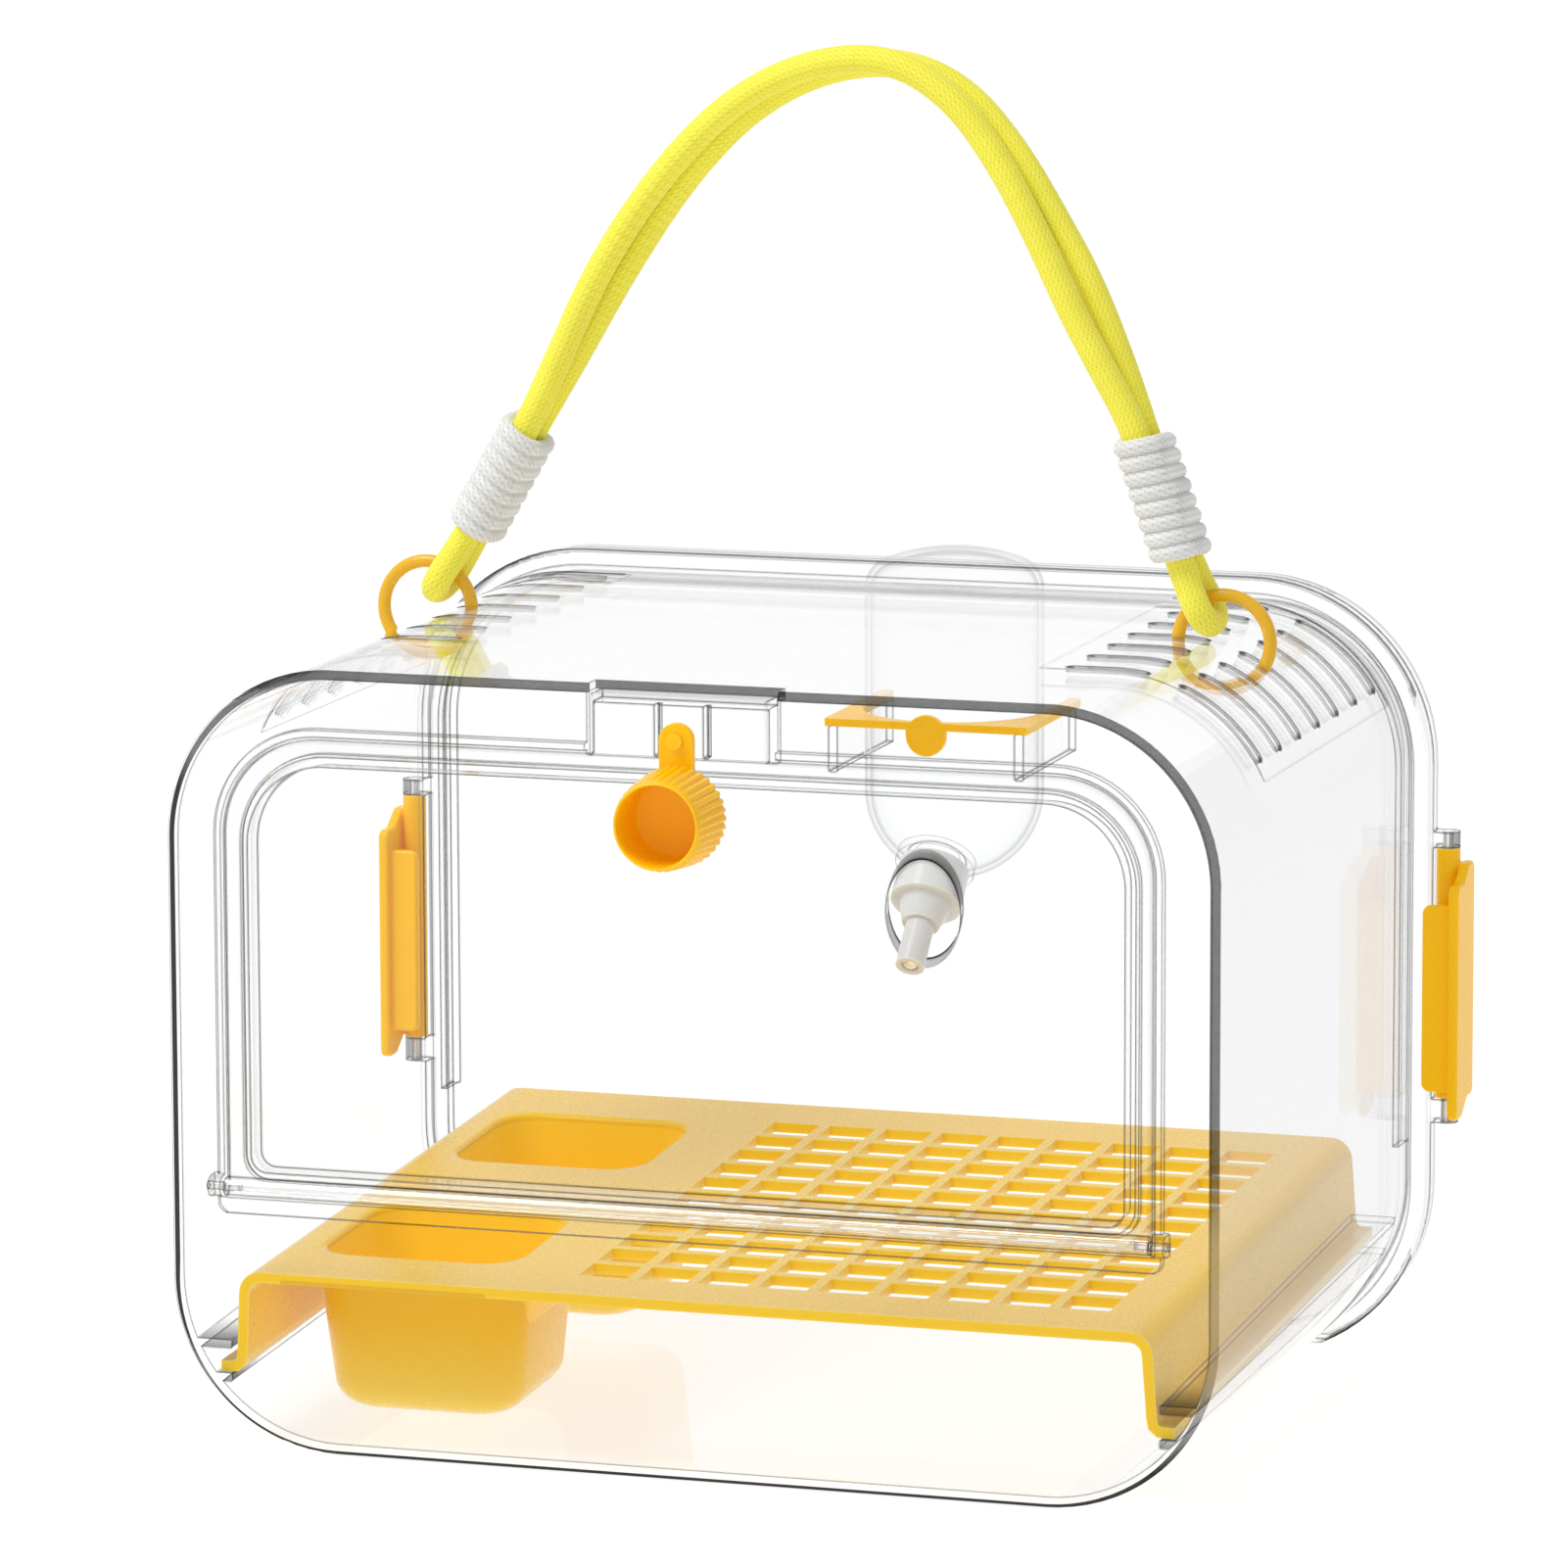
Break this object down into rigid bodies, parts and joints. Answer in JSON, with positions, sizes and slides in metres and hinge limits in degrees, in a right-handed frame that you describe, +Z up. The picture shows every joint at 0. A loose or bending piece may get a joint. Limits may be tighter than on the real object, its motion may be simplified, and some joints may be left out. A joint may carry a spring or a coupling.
{
  "type": "bird travel carrier",
  "caption": "Clear plastic travel carrier for a small bird, with a hinged front door, side clips, a slatted tray with food cups, a rear water bottle and a corded carrying handle.",
  "frame": {"origin": "middle of the flat underside the carrier stands on", "axes": "+Z up, -Y out of the front door, +Y out of the rear cover, +X across to the carrier's right side seen from the front"},
  "size_m": [0.308, 0.2845, 0.3572],
  "materials": {
    "shell_clear": "clear polished plastic",
    "bottle_clear": "clear polished plastic",
    "amber_plastic": "satin moulded plastic",
    "tray_plastic": "satin moulded plastic",
    "cap_plastic": "frosted plastic",
    "cord_yellow": "braided cord",
    "wrap_white": "braided cord",
    "steel": "ground steel",
    "seal_rubber": "soft"
  },
  "bodies": {
    "shell": {"main_shell": "shell_clear", "rear_cover": "shell_clear", "door_hinge_pin_left": "shell_clear", "door_hinge_pin_right": "shell_clear", "clip_pin_left": "steel", "clip_pin_right": "steel", "tray_deck": "tray_plastic", "tray_grid": "tray_plastic", "tray_skirt_right": "tray_plastic", "tray_skirt_left": "tray_plastic", "food_cup_front": "tray_plastic", "food_cup_rear": "tray_plastic", "bottle_cradle": "amber_plastic", "ring_left": "amber_plastic", "ring_right": "amber_plastic"},
    "door": {"front_door": "shell_clear", "pull_pivot_pin": "amber_plastic"},
    "pull": {"door_pull": "amber_plastic"},
    "clip_left": {"clip_left": "amber_plastic"},
    "clip_right": {"clip_right": "amber_plastic"},
    "bottle": {"bottle_body": "bottle_clear", "bottle_cap": "cap_plastic", "bottle_seal": "seal_rubber", "spout_tube": "cap_plastic", "spout_ball": "steel"},
    "handle": {"handle_cord": "cord_yellow", "handle_wrap_left": "wrap_white", "handle_wrap_right": "wrap_white"}
  },
  "joints": [
    {"name": "door_hinge", "type": "hinge", "parent": "shell", "child": "door", "pos_m": [0, -0.1077, 0.07], "axis": [1, 0, 0], "range_deg": [0, 110]},
    {"name": "pull_swing", "type": "hinge", "parent": "door", "child": "pull", "pos_m": [0, -0.109, 0.1922], "axis": [0, 1, 0], "range_deg": [-75, 75]},
    {"name": "clip_left_hinge", "type": "hinge", "parent": "shell", "child": "clip_left", "pos_m": [-0.148, 0.102, 0.1], "axis": [0, 0, -1], "range_deg": [0, 90]},
    {"name": "clip_right_hinge", "type": "hinge", "parent": "shell", "child": "clip_right", "pos_m": [0.148, 0.102, 0.1], "axis": [0, 0, 1], "range_deg": [0, 90]},
    {"name": "handle_swing", "type": "hinge", "parent": "shell", "child": "handle", "pos_m": [0, 0.0175, 0.2138], "axis": [1, 0, 0], "range_deg": [-50, 50]},
    {"name": "bottle_slide", "type": "slide", "parent": "shell", "child": "bottle", "axis": [0, 0.7071, 0.7071], "range_m": [0, 0.042]}
  ]
}
